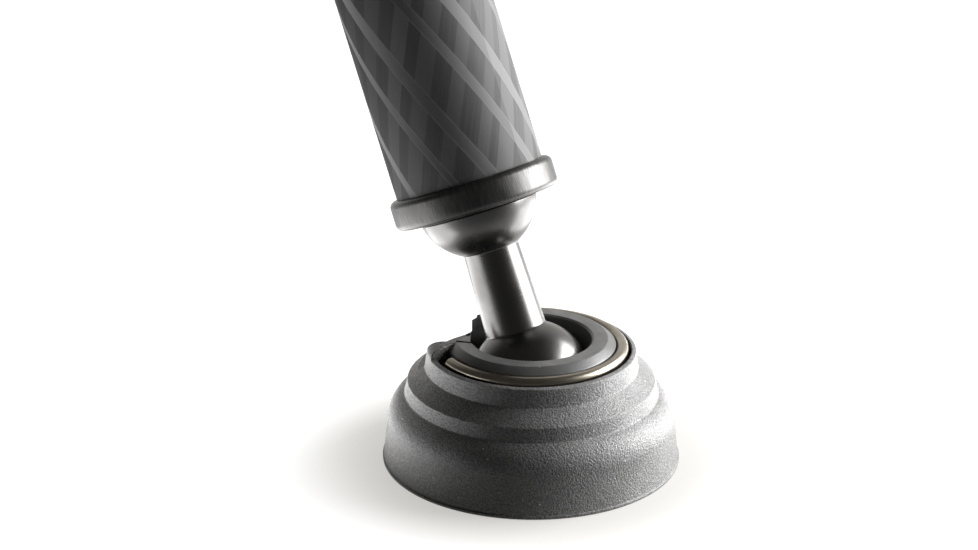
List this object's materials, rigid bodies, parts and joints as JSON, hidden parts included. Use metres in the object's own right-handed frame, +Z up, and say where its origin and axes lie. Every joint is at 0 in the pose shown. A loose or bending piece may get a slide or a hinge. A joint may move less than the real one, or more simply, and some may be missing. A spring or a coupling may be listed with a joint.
{
  "type": "camera monopod",
  "caption": "Telescopic carbon-tube camera monopod with twist locks, foam grip, camera plate and a ball-jointed rubber foot whose split collar is held by a wire ring.",
  "frame": {"origin": "middle of the flat sole of the foot", "axes": "+Z up from the ground the sole stands on; the leg leans towards -X about the middle of the foot ball, and its tilt axis is Y"},
  "size_m": [0.3011, 0.06, 0.6116],
  "materials": {
    "shoe_rubber": "grained",
    "seat_plastic": "grained",
    "wire": "drawn",
    "slick_plastic": "smooth",
    "stud_metal": "dark plated, turned satin",
    "dark_metal": "dark anodised, turned",
    "carbon": "tape-wound, satin lacquer",
    "lock_rubber": "matte",
    "seal_felt": "matte",
    "foam": "fine cellular",
    "pad_rubber": "matte",
    "screw_steel": "plain"
  },
  "bodies": {
    "upper_leg": {"tube_1": "carbon", "lock_sleeve_1": "dark_metal", "taper_bush_1": "slick_plastic", "grip_sleeve": "foam", "grip_ring_lower": "dark_metal", "grip_ring_upper": "dark_metal", "top_casting": "dark_metal", "camera_plate": "dark_metal", "plate_pad": "pad_rubber", "camera_screw": "screw_steel", "set_screws": "screw_steel"},
    "section_2": {"tube_2": "carbon", "guide_bush_2": "slick_plastic", "lock_sleeve_2": "dark_metal", "taper_bush_2": "slick_plastic"},
    "section_3": {"tube_3": "carbon", "guide_bush_3": "slick_plastic", "lock_sleeve_3": "dark_metal", "taper_bush_3": "slick_plastic"},
    "section_4": {"tube_4": "carbon", "guide_bush_4": "slick_plastic", "leg_end_plug": "dark_metal"},
    "lock_1": {"lock_ring_1": "dark_metal", "lock_grip_1": "lock_rubber", "dust_seal_1": "seal_felt"},
    "lock_2": {"lock_ring_2": "dark_metal", "lock_grip_2": "lock_rubber", "dust_seal_2": "seal_felt"},
    "lock_3": {"lock_ring_3": "dark_metal", "lock_grip_3": "lock_rubber", "dust_seal_3": "seal_felt"},
    "stud": {"ball_stud": "stud_metal"},
    "cup": {"ball_cup": "slick_plastic"},
    "foot": {"foot_shoe": "shoe_rubber", "ball_seat": "seat_plastic", "retaining_ring": "wire"}
  },
  "joints": [
    {"name": "lock_1_twist", "type": "hinge", "parent": "upper_leg", "child": "lock_1", "pos_m": [-0.07609, 0, 0.19279], "axis": [-0.3907, 0, 0.9205], "range_deg": [0, 90]},
    {"name": "lock_2_twist", "type": "hinge", "parent": "section_2", "child": "lock_2", "pos_m": [-0.0603, 0, 0.1556], "axis": [-0.3907, 0, 0.9205], "range_deg": [0, 90]},
    {"name": "lock_3_twist", "type": "hinge", "parent": "section_3", "child": "lock_3", "pos_m": [-0.04452, 0, 0.11841], "axis": [-0.3907, 0, 0.9205], "range_deg": [0, 90]},
    {"name": "section_2_slide", "type": "slide", "parent": "upper_leg", "child": "section_2", "axis": [0.3907, 0, -0.9205], "range_m": [0, 0.29]},
    {"name": "section_3_slide", "type": "slide", "parent": "section_2", "child": "section_3", "axis": [0.3907, 0, -0.9205], "range_m": [0, 0.29]},
    {"name": "section_4_slide", "type": "slide", "parent": "section_3", "child": "section_4", "axis": [0.3907, 0, -0.9205], "range_m": [-0.06, 0.23]},
    {"name": "foot_turn", "type": "hinge", "parent": "section_4", "child": "stud", "pos_m": [0, 0, 0.01354], "axis": [-0.3907, 0, 0.9205], "continuous": true},
    {"name": "foot_tilt", "type": "hinge", "parent": "stud", "child": "cup", "pos_m": [0, 0, 0.01354], "axis": [0, 1, 0], "range_deg": [-49, 3]},
    {"name": "foot_swivel", "type": "hinge", "parent": "cup", "child": "foot", "pos_m": [0, 0, 0.01354], "axis": [0, 0, 1], "continuous": true}
  ]
}
